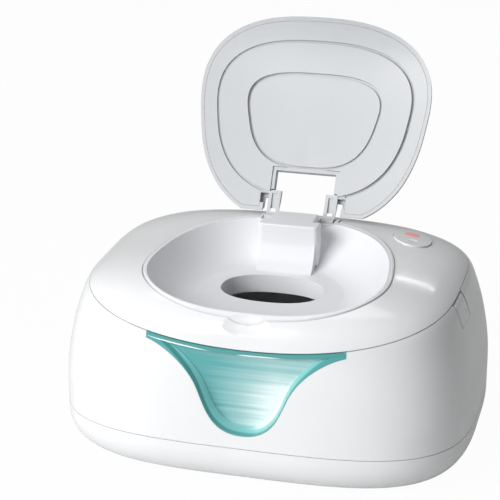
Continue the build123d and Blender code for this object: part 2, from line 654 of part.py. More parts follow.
def make_thermostat():
    can = rod_z(46, 20, PLATE_BOTTOM - 0.5, PLATE_BOTTOM + 4.5, 7.8)
    cap = rod_z(46, 20, PLATE_BOTTOM + 4.5, PLATE_BOTTOM + 8.0, 6.4)
    blades = block(39, 41.5, 17, 23, PLATE_BOTTOM + 8, PLATE_BOTTOM + 11)
    blades = blades + block(50.5, 53, 17, 23, PLATE_BOTTOM + 8, PLATE_BOTTOM + 11)
    return can + cap + blades + block(39, 53, 17, 23, PLATE_BOTTOM + 7, PLATE_BOTTOM + 8.4)


def make_thermal_fuse():
    body = rod_y(-50, PLATE_BOTTOM + PLATE_THICKNESS + 2.0, 8, 20, 2.0)
    leads = rod_y(-50, PLATE_BOTTOM + PLATE_THICKNESS + 2.0, 2, 26, 0.5)
    return body + leads


def make_cover_screws():
    return Compound(children=[pan_screw(x, y, PLATE_BOTTOM - 1.8, 10.0) for x, y in COVER_SCREWS])


def make_contact_pads():
    return Compound(children=[block(x - 1.6, x + 1.6, 79.1, 81.7, PLATE_BOTTOM - 0.4, PLATE_BOTTOM)
                              for x in CONTACT_X])


# control board, in the plane of the button: local x and y along it, local z out of it
def on_button_plane(shape, px, py, low):
    return button_plane(low) * Pos(px, py) * shape


BOTTOM_UP = (Align.CENTER, Align.CENTER, Align.MIN)


def make_control_board():
    return on_button_plane(Box(44, 36, 1.6, align=BOTTOM_UP), 0, 0, -11.7)


def make_board_components():
    chip = on_button_plane(Box(9, 7, 1.6, align=BOTTOM_UP), -10, 8, -10.1)
    drum = on_button_plane(Cylinder(3.0, 4.5, align=BOTTOM_UP), 15, 4, -10.1)
    header = on_button_plane(Box(12, 5, 5.0, align=BOTTOM_UP), -8, -10, -16.7)
    return Compound(children=[chip, drum, header])


def make_tact_switch():
    body = on_button_plane(Box(6.2, 6.2, 3.5, align=BOTTOM_UP), 0, -5, -10.1)
    plunger = on_button_plane(Cylinder(1.7, 1.4, align=BOTTOM_UP), 0, -5, -6.6)
    return body + plunger


def make_indicator_led():
    base = on_button_plane(Cylinder(1.9, 0.8, align=BOTTOM_UP), 0, 4.5, -10.1)
    dome = on_button_plane(Cylinder(1.5, 2.6, align=BOTTOM_UP), 0, 4.5, -9.3)
    return base + dome


def make_heater_wires():
    start = (button_plane(-17.0).location * Pos(-6, -10)).position
    a = wire_run([tuple(start), (start.X, start.Y, 96.0), (53.3, 21, 96.0)], [2.0], 0.8)
    start_b = (button_plane(-17.0).location * Pos(-11, -10)).position
    b = wire_run([tuple(start_b), (start_b.X, start_b.Y, 95.5), (30, 46, 95.5), (9, 72, 95.5), (9, 78, 89.2)],
                 [2.4, 8, 4], 0.8)
    return Compound(children=[a, b])


# ---------------------------------------------------------------- power button
def make_power_button():
    cap = button_prism(BUTTON_GAP, -4.5, 6) & dome_slab(-1.4, BUTTON_PROUD, button_sheet)
    skirt = button_prism(BUTTON_GAP, -4.0, 0.0) - button_prism(BUTTON_GAP + 1.4, -5.0, 1.0)
    skirt = skirt & dome_slab(-20, -0.5, button_sheet)
    stem = on_button_plane(Cylinder(2.2, 4.5, align=BOTTOM_UP), 0, -5, -3.8)
    stem = stem & dome_slab(-20, 0.2, button_sheet)
    cap = cap + skirt + stem
    cap = cap - (button_plane(-8) * Pos(0, 4.5) * extrude(Ellipse(4.8, 3.7), 20))
    dish = button_plane(0) * Pos(0, -9.0, 17.4) * Sphere(17.6)
    return one_solid(cap - dish)


def make_button_lens():
    plug = button_plane(-4.4) * Pos(0, 4.5) * extrude(Ellipse(4.7, 3.6), 20)
    return one_solid(plug & dome_slab(-20, BUTTON_PROUD + 0.15, button_sheet))


# ---------------------------------------------------------------- release tabs
def make_release_tab(side):
    x0, x1 = sorted((side * 100, side * 130))
    outline = make_face(Polyline((TAB_FRONT, TAB_BOTTOM), (TAB_REAR - 0.6, TAB_BOTTOM), (TAB_REAR - 3.0, 110),
                                 (TAB_FRONT, 110), (TAB_FRONT, TAB_BOTTOM)))
    plate = extrude(Plane.YZ * outline, x1 - x0, dir=(1, 0, 0)).moved(Location((x0, 0, 0)))
    plate = wall & plate & below_seam(-SEAM_GAP / 2 - 1.1)
    x0, x1 = sorted((side * 107.2, side * 112.5))
    pusher = block(x0, x1, -28, -16, 93.5, 96.0) & core_form(WALL - 0.8)
    return one_solid(plate + pusher)


# ---------------------------------------------------------------- flip lid, modelled shut, then opened
LINER_HALF_WIDTH = 62.0
LINER_HALF_LENGTH = 50.5
LINER_CENTRE_Y = -21.5
PANEL_HALF_WIDTH = 41.5
PANEL_HALF_LENGTH = 31.0
PANEL_CENTRE_Y = -21.3
PANEL_EXPONENT = 3.0
PANEL_EGG = 0.18
GROOVE = 1.8
PAD_ARC_RADIUS = 47.5
PAD_ARC_Y = -123.3


def lid_cutter(grow):
    """Notch for the plinth and the arms, and the straight rear ends of the lobes."""
    notch = block(-NOTCH_HALF - grow, NOTCH_HALF + grow, NOTCH_FRONT - grow, 80, 80, HIGH)
    step = block(-LOBE_INNER - grow, LOBE_INNER + grow, LOBE_STEP - grow, 80, 80, HIGH)
    low = LID_REAR - grow
    slope = (HIGH - LID_REAR_LOW_Z) / math.tan(math.radians(LID_OPEN_ANGLE - 60.0))
    rear = make_face(Polyline((low, 80), (low, LID_REAR_LOW_Z), (low - slope, HIGH), (80, HIGH),
                              (80, 80), (low, 80)))
    return notch + step + extrude(Plane.YZ * rear, FAR, both=True)


def opened(shape):
    """Swing a lid piece from shut to its open stop."""
    return shape.rotate(Axis((0, LID_AXIS_Y, LID_AXIS_Z), (1, 0, 0)), -LID_OPEN_ANGLE)


def make_lid_shell():
    body = one_solid(rim_prism(0) & dome_slab(-6, LID_HEIGHT))
    body = tidy_round(body, 4.0, lambda s: s.faces().sort_by(Axis.Z)[-1].outer_wire().edges())
    body = body - lid_cutter(0) - dome_slab(-20, LID_LIFT)
    hollow = (rim_prism(LID_WALL) - lid_cutter(LID_WALL)) & dome_slab(-8, LID_HEIGHT - LID_WALL)
    body = body - hollow
    for side in (-1, 1):
        x0, x1 = sorted((side * (ARM_INNER - 1), side * (LOBE_INNER + 3.0)))
        body = body - block(x0, x1, 23.8, 33.0, 100, 124.0)
    return opened(one_solid(body))


def liner_prism(inset):
    return oval_prism(LINER_HALF_WIDTH - inset, LINER_HALF_LENGTH - inset, 80, HIGH, RIM_EXPONENT,
                      LINER_CENTRE_Y, RIM_EGG)


def panel_prism(inset):
    return oval_prism(PANEL_HALF_WIDTH - inset, PANEL_HALF_LENGTH - inset, 80, HIGH, PANEL_EXPONENT,
                      PANEL_CENTRE_Y, PANEL_EGG)


def lid_arm(side):
    x0, x1 = sorted((side * ARM_INNER, side * ARM_OUTER))
    profile = Plane.YZ * make_face(Polyline((24.5, 120.4), (24.5, 123.6), (31.0, 123.2), (38.0, 120.2),
                                            (LID_AXIS_Y, LID_AXIS_Z + KNUCKLE_RADIUS), (LID_AXIS_Y, 116.0),
                                            (41.0, 117.8), (39.6, 118.9), (38.0, 119.3), (24.5, 120.4)))
    arm = extrude(profile, x1 - x0, dir=(1, 0, 0)).moved(Location((x0, 0, 0)))
    arm = arm + rod_x(LID_AXIS_Y, LID_AXIS_Z, x0, x1, KNUCKLE_RADIUS)
    middle = (x0 + x1) / 2
    arm = arm - block(middle - 1.8, middle + 1.8, 26.5, 38.5, 115, 121.0)
    link = block(*sorted((side * ARM_OUTER - side, side * (LOBE_INNER + 1.5))), 24.5, 26.6, 120.6, 122.8)
    return arm + link - rod_x(LID_AXIS_Y, LID_AXIS_Z, x0 - 1, x1 + 1, LID_PIN_RADIUS + PIVOT_CLEARANCE)


def make_lid_liner():
    inset = LID_WALL + 0.15
    plate = one_solid((rim_prism(inset) - lid_cutter(inset)) & dome_slab(LID_LIFT, LID_LIFT + 2.6))
    plate = plate - ((liner_prism(0) - panel_prism(GROOVE)) & dome_slab(-4, LID_LIFT + 1.5))
    ring = (liner_prism(GROOVE) - panel_prism(0) - lid_cutter(inset)) & dome_slab(0.1, LID_LIFT + 2.1)
    plate = plate + ring
    pad = Pos(0, PAD_ARC_Y, 110) * Cylinder(PAD_ARC_RADIUS, 60)
    plate = one_solid(plate + (pad & rim_prism(inset) & dome_slab(0.75, LID_LIFT + 1.5)))
    for side in (-1, 1):
        plate = plate + lid_arm(side)
    return opened(one_solid(plate))


def make_lid_hinge_pin():
    return rod_x(LID_AXIS_Y, LID_AXIS_Z, -ARM_OUTER, ARM_OUTER, LID_PIN_RADIUS)


# ---------------------------------------------------------------- all pieces
PARTS = {
    "base_cover": make_base_cover,
    "rubber_feet": make_rubber_feet,
    "base_screws": make_base_screws,
    "body_shell": make_body_shell,
    "window_lens": make_window_lens,
    "light_diffuser": make_light_diffuser,
    "night_light_board": make_light_board,
    "night_light_leds": make_light_leds,
    "inner_tub": make_inner_tub,
    "power_jack": make_power_jack,
    "jack_pin": make_jack_pin,
    "supply_wires": make_supply_wires,
    "light_wires": make_light_wires,
    "contact_block": make_contact_block,
    "contact_pins": make_contact_pins,
    "cover_hinge_pins": make_cover_hinge_pins,
    "release_tab_left": lambda: make_release_tab(-1),
    "release_tab_right": lambda: make_release_tab(1),
    "cover_shell": make_cover_shell,
    "dispensing_bowl": make_dispensing_bowl,
    "inner_cover": make_inner_cover,
    "cover_seal": make_cover_seal,
    "heater_plate": make_heater_plate,
    "heater_film": make_heater_film,
    "thermostat": make_thermostat,
    "thermal_fuse": make_thermal_fuse,
    "cover_screws": make_cover_screws,
    "contact_pads": make_contact_pads,
    "control_board": make_control_board,
    "board_components": make_board_components,
    "tact_switch": make_tact_switch,
    "indicator_led": make_indicator_led,
    "heater_wires": make_heater_wires,
    "power_button": make_power_button,
    "button_lens": make_button_lens,
    "lid_shell": make_lid_shell,
    "lid_liner": make_lid_liner,
    "lid_hinge_pin": make_lid_hinge_pin,
}

os.makedirs("parts", exist_ok=True)
for node, make in PARTS.items():
    export_step(make(), f"parts/{node}.step")
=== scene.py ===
import json
import math

import bpy
import numpy as np
from mathutils import Matrix, Vector


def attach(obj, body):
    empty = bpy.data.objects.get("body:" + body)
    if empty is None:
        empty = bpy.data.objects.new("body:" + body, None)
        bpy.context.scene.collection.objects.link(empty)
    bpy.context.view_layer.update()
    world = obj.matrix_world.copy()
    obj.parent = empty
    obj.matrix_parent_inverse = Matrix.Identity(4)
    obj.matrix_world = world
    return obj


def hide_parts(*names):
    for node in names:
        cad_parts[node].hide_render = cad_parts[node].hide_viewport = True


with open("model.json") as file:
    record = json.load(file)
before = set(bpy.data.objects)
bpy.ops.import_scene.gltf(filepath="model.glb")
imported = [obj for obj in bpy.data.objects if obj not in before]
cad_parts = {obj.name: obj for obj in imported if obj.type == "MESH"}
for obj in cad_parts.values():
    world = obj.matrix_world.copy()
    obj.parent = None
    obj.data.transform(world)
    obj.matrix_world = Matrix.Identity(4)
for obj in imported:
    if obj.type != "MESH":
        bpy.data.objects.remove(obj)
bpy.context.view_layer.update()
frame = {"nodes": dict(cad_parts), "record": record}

bl_info = {
    "name": "Baby Wipe Warmer",
    "version": (1, 0, 0),
    "blender": (4, 5, 0),
    "location": "View3D > Sidebar > Wipe Warmer",
    "description": "Finishes a heated wipe tub: moulded shells, window, flip lid, button and stage",
    "category": "Object",
}

MM = 0.001

# The moulded form, in millimetres: a squared oval with a rounded foot, walls that lean in and
# shoulders that round over into a shallow dome. Its height over a place is found by halving, from
# well below the shoulders to just under the top.
HALF_WIDTH = 124.0
HALF_DEPTH = 96.0
PLAN_EXPONENT = 3.5
FOOT_TOP = 22.0
FOOT_HEIGHT = 21.0
FOOT_INSET = 20.0
LEAN_START = 40.0
LEAN_HEIGHT = 60.0
LEAN_X = 12.0
LEAN_Y = 8.0
SHOULDER_X_START = 96.0
SHOULDER_X_POWERS = (3.1, 0.5)
SHOULDER_Y_START = 92.0
SHOULDER_Y_POWERS = (2, 0.25)
DOME_TOP = 119.6
CROWN_SHARE = 0.9995
DOME_LOWEST = 60.0
DOME_CLEARANCE = 0.02
DOME_STEPS = 30

# Moulded faces take the exact direction of the form: that of the walls within ON_FORM of them, and
# that of the dome above or below it. Such a face looks nearly along it, or a little further off
# beside one that does. Copies of the part's meshes are welded first, at a distance in metres.
ON_FORM = 0.5
NEARLY_ALONG = math.cos(math.radians(6.0))
FURTHER_OFF = math.cos(math.radians(17.0))
WELD_DISTANCE = 4e-6

# The line that the flip lid turns on, as its place in Y and Z, and how far the lid stands open.
LID_AXIS = (43.4, 117.0)
LID_OPEN = math.radians(120.0)

# The mouth of the bowl: a squared oval, narrower towards the back.
RIM_HALF_WIDTH = 72.1
RIM_HALF_LENGTH = 65.0
RIM_CENTRE_Y = -19.6
RIM_EXPONENT = 2.65
RIM_EGG = 0.135
RIM_STEPS = 360

# The bead round the mouth sinks and thins towards its ends. It runs where it is further than BEAD_GAP
# from the middle line or nearer than BEAD_REACH to BEAD_CENTRE_Y, and so not at the scoop and hinge.
BEAD_SUNK = 0.40
BEAD_END_SUNK = 0.5
BEAD_END_LENGTH = 9.0
BEAD_END_SHARE = 0.25
BEAD_GAP = 26.0
BEAD_CENTRE_Y = -20.0
BEAD_REACH = 40.0

# The line between body and cover, which rises with the square of the distance from the middle.
SEAM_LOW = 85.8
SEAM_RISE = 22.0 / HALF_WIDTH ** 2

# The release tabs: front and rear edge, the gap under the seam, how far in the edges are rounded, and
# how far out the relief stands, in metres. The dimple is a ring with a soft line; its depth is a share
# of the relief, and its ring is painted darker, as painted shade, to a share of the tint.
TAB_FRONT = -34.0
TAB_REAR = -11.6
TAB_GAP = 0.5
TAB_ROUNDING = 1.6
TAB_RELIEF = 0.0009
TAB_GRAIN = 0.003
DIMPLE_PLACE = (114.4, -17.9, 93.3)
DIMPLE_RADIUS = 1.1
DIMPLE_LINE = (0.75, 0.1)
DIMPLE_DEPTH = 0.3
DIMPLE_PAINTED_SHADE = 0.45

# The window: the plane of its ribbed panel, and the half width of the body at its height. Pairs are
# the two places between which one tint passes into another.
PANEL_Y = (-88.1, -88.6)
WINDOW_HALF_WIDTH = 120.0
# The panel carries painted light, which grows from its left end to its right end, which slant with
# height. Under the strip the painted light is down to a share, as painted shade. Fine ribs and broad
# bands run across it, and it picks the tint.
PANEL_LEFT = -27.0
PANEL_WIDTH = 46.0
PANEL_LEVEL = 62.0
PANEL_SLANT = 0.16
PANEL_SHADE = (84.0, 52.0)
SHADED_LIGHT = 0.36
RIB_STRETCH = (8.0, 8.0, 620.0)
RIB_CONTRAST = 0.42
BAND_STRETCH = (5.0, 5.0, 150.0)
BAND_CONTRAST = 0.5
SOFT_GLOW = (0.0, 0.50)
PALE_GLOW = (0.38, 0.85)
# The slopes round the panel: across, in height, and in depth below the body's surface. Their tints carry
# painted light on the left slope and painted shade on the lower and right slopes. The dark outer edge
# is narrower at the right.
SLOPE_MIDDLE = (-3.0, 15.0)
SLOPE_LOW = (46.0, 32.0)
SLOPE_OUTER_DEPTH = (3.2, 1.6)
SLOPE_INNER_DEPTH = (3.6, 5.0)
SLOPE_RIGHT_EDGE = 1.1
# The strip along the seam, as depth below the seam, and the two painted highlights on it, thin lines
# of painted reflection: where each starts, is full, fades and ends, and its half width. Elsewhere the
# half width is below zero.
STRIP_BOTTOM = (3.4, 2.6)
STREAK_DEPTH = 2.6
LEFT_STREAK = (-64.0, -42.0, -34.0, -16.0)
LEFT_STREAK_HALF = 0.62
RIGHT_STREAK = (-6.0, 2.0, 10.0, 26.0)
RIGHT_STREAK_HALF = 0.48
STREAK_NONE = -0.08
STREAK_SOFTNESS = 0.12
PAINTED_HIGHLIGHT_TINT = (0.93, 0.98, 0.97)

# Moulded plastic drifts in tone between two shades. The shells have a clear coat. The inside of the
# flip lid is satin and takes painted shade, a darker white for the shade on the open lid, and
# LINING_FACING tells it from the outside by the way a face looks.
DARK_DRIFT = 0.975
LIGHT_DRIFT = 1.012
SHELL_COAT = 0.25
LINING_ROUGHNESS = 0.48
LINING_FACING = (-0.4, 0.05)

# The heater film's tracks lie this far apart.
FILM_LANE = 7.0

# The stage, in metres and degrees: the floor, what the lamps aim at, and the camera. Gloss and clear
# plastic show only a share of the white surroundings.
FLOOR_SIZE = 8.0
FLOOR_WHITENESS = 0.97
MIRRORED_SHARE = 0.20
LAMP_AIM = (0.0, 0.0, 0.08)
CAMERA_PLACE = (0.22757848, -0.95828957, 0.48130170)
CAMERA_TURN = (69.5055, -0.29279, 14.60555)


# ---------------------------------------------------------------- settings
def colour(name, description, default):
    return bpy.props.FloatVectorProperty(
        name=name, description=description, default=default, size=3, min=0.0, max=1.0, subtype="COLOR"
    )


def factor(name, description, default):
    return bpy.props.FloatProperty(
        name=name, description=description, default=default, min=0.0, max=1.0, subtype="FACTOR"
    )


def length(name, description, default):
    return bpy.props.FloatProperty(
        name=name, description=description, default=default, min=0.0, unit="LENGTH", precision=5
    )


def angle(name, description, default):
    return bpy.props.FloatProperty(
        name=name, description=description, default=math.radians(default), unit="ROTATION"
    )


def power(name, description, default):
    return bpy.props.FloatProperty(
        name=name, description=description, default=default, min=0.0, unit="POWER"
    )


class WarmerFinishSettings(bpy.types.PropertyGroup):
    """Colours and gloss of the mouldings."""

    shell: colour("Shell", "White of the glossy outer mouldings", (0.835, 0.845, 0.855))
    satin: colour("Bowl", "White of the satin bowl", (0.80, 0.81, 0.835))
    # Painted shade: the lid's underside and its liner take this darker white to stand in for the shade on
    # the open lid.
    shaded_lining: colour("Lid lining", "White of the underside of the lid", (0.575, 0.59, 0.605))
    inner: colour("Inner parts", "White of the matt parts inside", (0.72, 0.73, 0.74))
    shell_roughness: factor("Shell roughness", "Roughness of the glossy mouldings", 0.17)
    satin_roughness: factor("Bowl roughness", "Roughness of the satin mouldings", 0.40)
    window_deep: colour("Window edge", "Tint of the outer edge of the window", (0.075, 0.36, 0.355))
    window_strip: colour("Window strip", "Tint of the strip along the seam", (0.075, 0.325, 0.315))
    # The three slope tints are lit and shaded copies of the teal: painted light on the left slope, painted
    # shade on the lower and right slopes.
    window_wall_painted_light: colour("Window slope", "Tint of the left slope of the window", (0.34, 0.82, 0.83))
    window_low_wall_painted_shade: colour("Window low slope", "Tint of the lower slope", (0.19, 0.49, 0.495))
    window_far_wall_painted_shade: colour("Window far slope", "Tint of the right slope", (0.24, 0.60, 0.59))
    # The next three tints paint light into the panel: its painted shade at the left end, its middle, and
    # its painted light where it is pale.
    window_painted_shade: colour("Window shade", "Tint of the shaded end of the panel", (0.105, 0.39, 0.40))
    window_soft: colour("Window middle", "Tint of the middle of the panel", (0.34, 0.59, 0.595))
    window_painted_light: colour("Window panel", "Tint of the thin, lit panel", (0.80, 0.90, 0.90))
    smooth_angle: angle("Smooth angle", "Edges sharper than this stay crisp", 32.0)


class WarmerDetailSettings(bpy.types.PropertyGroup):
    """Sizes of the added details."""

    bead_radius: length("Bead radius", "Half the width of the polished bead round the bowl", 0.0009)
    bead_inset: length("Bead inset", "Distance of the bead from the edge of the opening", 0.0017)


class WarmerStageSettings(bpy.types.PropertyGroup):
    """Lamps, floor and surroundings."""

    key_power: power("Key lamp", "Large lamp at the front left", 38.0)
    top_power: power("Top lamp", "Lamp above the object", 5.0)
    strip_power: power("Strip lamp", "Narrow lamp behind, for the streak on the cover", 0.35)
    surroundings: factor("Surroundings", "Brightness of the room", 0.195)
    focal_length: bpy.props.FloatProperty(
        name="Focal length", description="Lens of the camera", default=125.66, min=1.0, unit="CAMERA"
    )


# ---------------------------------------------------------------- shader graphs
class Value:
    """A shader socket that takes part in arithmetic."""

    def __init__(self, graph, socket):
        self.graph = graph
        self.socket = socket

    def __add__(self, other):
        return self.graph.maths("ADD", self, other)

    def __radd__(self, other):
        return self.graph.maths("ADD", other, self)

    def __sub__(self, other):
        return self.graph.maths("SUBTRACT", self, other)

    def __rsub__(self, other):
        return self.graph.maths("SUBTRACT", other, self)

    def __mul__(self, other):
        return self.graph.maths("MULTIPLY", self, other)

    def __truediv__(self, other):
        return self.graph.maths("DIVIDE", self, other)

    def __pow__(self, other):
        return self.graph.maths("POWER", self, other)

    def __abs__(self):
        return self.graph.maths("ABSOLUTE", self)

    def clamped(self):
        """Held between 0 and 1."""
        return self.graph.maths("ADD", self, 0.0, clamp=True)

    def ramp(self, start, end):
        """0 before start, 1 past end and smooth between, where end may be the lower one."""
        node = self.graph.add("ShaderNodeMapRange", {"interpolation_type": "SMOOTHSTEP"},
                              {"Value": self, "From Min": start, "From Max": end})
        return Value(self.graph, node.outputs["Result"])

    def hump(self, start, full, fading, end):
        """0 outside start and end, and 1 between full and fading."""
        return self.ramp(start, full) * self.ramp(end, fading)


class Graph:
    """The node tree of one material, or of the surroundings."""

    def __init__(self, name, tree=None):
        self.material = None if tree else bpy.data.materials.new(name)
        if self.material:
            self.material.use_nodes = True
        self.tree = tree or self.material.node_tree
        self.tree.nodes.clear()

    def add(self, kind, settings, inputs):
        """A new node, with each input linked to a Value or set to a number."""
        node = self.tree.nodes.new(kind)
        for name, value in settings.items():
            setattr(node, name, value)
        for name, value in inputs.items():
            socket = node.inputs[name]
            if isinstance(value, Value):
                self.tree.links.new(value.socket, socket)
            else:
                socket.default_value = value
        return node

    def maths(self, operation, *values, clamp=False):
        inputs = dict(enumerate(values))
        node = self.add("ShaderNodeMath", {"operation": operation, "use_clamp": clamp}, inputs)
        return Value(self, node.outputs[0])

    def place(self):
        """The place on the piece, in metres."""
        node = self.add("ShaderNodeTexCoord", {}, {})
        return Value(self, node.outputs["Object"])

    def facing(self):
        """The direction that the surface faces on its own piece."""
        node = self.add("ShaderNodeTexCoord", {}, {})
        return Value(self, node.outputs["Normal"])

    def parts(self, vector):
        node = self.add("ShaderNodeSeparateXYZ", {}, {"Vector": vector})
        return [Value(self, node.outputs[i]) for i in range(3)]

    def axes(self, place):
        """The three parts of a place, in millimetres."""
        return [part / MM for part in self.parts(place)]

    def mapped(self, vector, scale):
        """A place stretched by one factor for each axis."""
        node = self.add("ShaderNodeMapping", {}, {"Vector": vector, "Scale": scale})
        return Value(self, node.outputs["Vector"])

    def noise(self, vector, scale=1.0, detail=2.0, roughness=0.5):
        node = self.add("ShaderNodeTexNoise", {},
                        {"Vector": vector, "Scale": scale, "Detail": detail, "Roughness": roughness})
        return Value(self, node.outputs["Fac"])

    def mix(self, amount, first, second):
        node = self.add("ShaderNodeMix", {"data_type": "RGBA"},
                        {0: amount, 6: self.paint(first), 7: self.paint(second)})
        return Value(self, node.outputs[2])

    @staticmethod
    def paint(value):
        return value if isinstance(value, Value) else (*value, 1.0)

    def seen_share(self, mirrored):
        """1 for what the camera sees, and mirrored for what gloss or clear plastic shows."""
        path = self.add("ShaderNodeLightPath", {}, {})
        camera, glossy, through = [Value(self, path.outputs["Is %s Ray" % name])
                                   for name in ("Camera", "Glossy", "Transmission")]
        return self.maths("MAXIMUM", camera, self.maths("MAXIMUM", glossy, through) * mirrored)

    def bump(self, height, strength, distance):
        inputs = {"Height": height, "Strength": strength, "Distance": distance}
        node = self.add("ShaderNodeBump", {}, inputs)
        return Value(self, node.outputs["Normal"])

    def blend(self, amount, first, second, output):
        """Put a mix of two shaders on the surface of an output."""
        mixer = self.add("ShaderNodeMixShader", {}, {0: amount})
        self.tree.links.new(first.outputs[0], mixer.inputs[1])
        self.tree.links.new(second.outputs[0], mixer.inputs[2])
        self.tree.links.new(mixer.outputs[0], self.add(output, {}, {}).inputs["Surface"])

    def principled(self, inputs):
        surface = self.add("ShaderNodeBsdfPrincipled", {}, inputs)
        output = self.add("ShaderNodeOutputMaterial", {}, {})
        self.tree.links.new(surface.outputs[0], output.inputs["Surface"])
        return self.material


def shaded(tint, amount):
    return tuple(min(1.0, part * amount) for part in tint)


def drifting(graph, tone, tint):
    """A tint that goes a little darker and lighter with tone."""
    return graph.mix(tone, shaded(tint, DARK_DRIFT), shaded(tint, LIGHT_DRIFT))


def seam_height(x):
    """Height of the line between body and cover."""
    return x * x * SEAM_RISE + SEAM_LOW


def tab_relief(graph, place):
    """The ring of the dimple on a release tab, and the height that rounds its edges off."""
    x, y, z = graph.axes(place)
    gaps = [abs(part - middle) ** 2.0 for part, middle in zip((abs(x), y, z), DIMPLE_PLACE)]
    distance = (gaps[0] + gaps[1] + gaps[2]) ** 0.5
    ring = abs(distance - DIMPLE_RADIUS).ramp(*DIMPLE_LINE)
    from_ends = graph.maths("MINIMUM", y - TAB_FRONT, TAB_REAR - y)
    inside = graph.maths("MINIMUM", from_ends, seam_height(x) - TAB_GAP - z)
    return ring, inside.ramp(0.0, TAB_ROUNDING)


def satin_and_shade_share(graph):
    """Where the open lid takes its satin finish and the painted shade of its underside: 1 on the faces
    that look down when it is shut, and 0 on its outside.
    """
    _, back, up = graph.parts(graph.facing())
    down_when_shut = back * -math.sin(LID_OPEN) + up * -math.cos(LID_OPEN)
    return down_when_shut.ramp(*LINING_FACING)


def moulded_plastic(name, tint, roughness, coat=0.0, grain=0.03, grain_size=700.0, tab=False, shaded_lining=None):
    """Opaque moulded plastic with a faint mottling and a fine grain.

    A tab has rounded edges and a dimple, whose ring is painted darker as painted shade. The lid's
    underside takes a darker tint, painted shade, on the faces that look down from the shut lid, which
    are satin.
    """
    graph = Graph(name)
    place = graph.place()
    cloud = graph.noise(place, scale=9.0, detail=3.0)
    patch = graph.noise(place, scale=34.0, detail=4.0)
    grain_field = graph.noise(place, scale=grain_size)
    tone = (cloud * 0.7 + patch * 0.3).ramp(0.3, 0.7)
    paint = drifting(graph, tone, tint)
    if tab:
        ring, rounding = tab_relief(graph, place)
        dimple = ring * DIMPLE_DEPTH
        # Painted shade: the dimple's ring is painted darker.
        paint = graph.mix(dimple, paint, shaded(tint, DIMPLE_PAINTED_SHADE))
        height = rounding - dimple + grain_field * TAB_GRAIN
        normal = graph.bump(height, strength=1.0, distance=TAB_RELIEF)
    else:
        normal = graph.bump(grain_field, strength=grain, distance=0.00006)
    # Painted shade: the lid's underside, and most of its side walls, take the darker tint, which is also
    # satin.
    if shaded_lining:
        under = satin_and_shade_share(graph)
        paint = graph.mix(under, paint, drifting(graph, tone, shaded_lining))
        roughness = roughness + under * (LINING_ROUGHNESS - roughness)
        coat = (1.0 - under) * coat
    return graph.principled({
        "Base Color": paint,
        "Roughness": roughness + (patch - 0.5) * 0.07,
        "IOR": 1.5,
        "Coat Weight": coat,
        "Coat Roughness": 0.06,
        "Normal": normal,
    })


def window_panel(graph, finish, ribs, place):
    """Tint of the ribbed panel, with painted shade at the left and under the strip and painted light at
    the right.
    """
    x, _, z = graph.axes(place)
    bands = graph.noise(graph.mapped(place, BAND_STRETCH))
    across = (x - (PANEL_LEVEL - z) * PANEL_SLANT - PANEL_LEFT) / PANEL_WIDTH
    # Painted light across the panel, down to a share under the strip as painted shade.
    painted_lit = across.clamped() * (SHADED_LIGHT + z.ramp(*PANEL_SHADE) * (1.0 - SHADED_LIGHT))
    glow = painted_lit + (ribs - 0.5) * RIB_CONTRAST + (bands - 0.5) * BAND_CONTRAST
    soft = graph.mix(glow.ramp(*SOFT_GLOW), finish.window_painted_shade, finish.window_soft)
    return graph.mix(glow.ramp(*PALE_GLOW), soft, finish.window_painted_light)


def window_slopes(graph, finish, panel, place):
    """Tint of the slopes round the panel, with painted light on the left slope and painted shade on the
    lower and right ones, dark along their outer edge.
    """
    x, y, z = graph.axes(place)
    lean = ((z - LEAN_START) / LEAN_HEIGHT).clamped() ** 2.0
    bulge = 1.0 - (abs(x) / WINDOW_HALF_WIDTH) ** PLAN_EXPONENT / PLAN_EXPONENT
    depth = y + (HALF_DEPTH - lean * LEAN_Y) * bulge
    to_right = x.ramp(*SLOPE_MIDDLE)
    # Painted light on the left slope, painted shade low down and on the right slope.
    left = graph.mix(z.ramp(*SLOPE_LOW), finish.window_wall_painted_light, finish.window_low_wall_painted_shade)
    right = graph.mix(depth.ramp(*SLOPE_INNER_DEPTH), finish.window_far_wall_painted_shade, panel)
    outer = (depth + to_right * SLOPE_RIGHT_EDGE).ramp(*SLOPE_OUTER_DEPTH)
    return graph.mix(outer, graph.mix(to_right, left, right), finish.window_deep)


def window_plastic(finish):
    """Tinted clear plastic, dark where it is thick and ribbed in its panel, with painted light, painted
    shade, a painted glow and painted highlights.
    """
    graph = Graph("teal_window")
    place = graph.place()
    x, y, z = graph.axes(place)
    ribs = graph.noise(graph.mapped(place, RIB_STRETCH), detail=3.0, roughness=0.6)
    panel = window_panel(graph, finish, ribs, place)
    before_panel = y.ramp(*PANEL_Y)
    below_seam = seam_height(x) - z
    # Two painted highlights: thin white lines of painted reflection on the strip just under the seam.
    left_half = x.hump(*LEFT_STREAK) * LEFT_STREAK_HALF
    right_half = x.hump(*RIGHT_STREAK) * RIGHT_STREAK_HALF
    beside_streak = abs(below_seam - STREAK_DEPTH) - (left_half + right_half + STREAK_NONE)
    streak = beside_streak.ramp(STREAK_SOFTNESS, -STREAK_SOFTNESS)
    paint = graph.mix(before_panel, panel, window_slopes(graph, finish, panel, place))
    paint = graph.mix(below_seam.ramp(*STRIP_BOTTOM) * before_panel, paint, finish.window_strip)
    paint = graph.mix(streak * before_panel, paint, PAINTED_HIGHLIGHT_TINT)
    return graph.principled({
        "Base Color": paint,
        "Roughness": 0.15 + graph.noise(place, scale=45.0) * 0.07,
        "IOR": 1.49,
        "Transmission Weight": 0.06,
        "Coat Weight": 0.3,
        "Coat Roughness": 0.05,
        # Painted glow: the panel's tint, with its painted light, shines a little as emission.
        "Emission Color": panel,
        "Emission Strength": 0.06,
        "Normal": graph.bump(ribs, strength=0.1, distance=0.0003),
    })


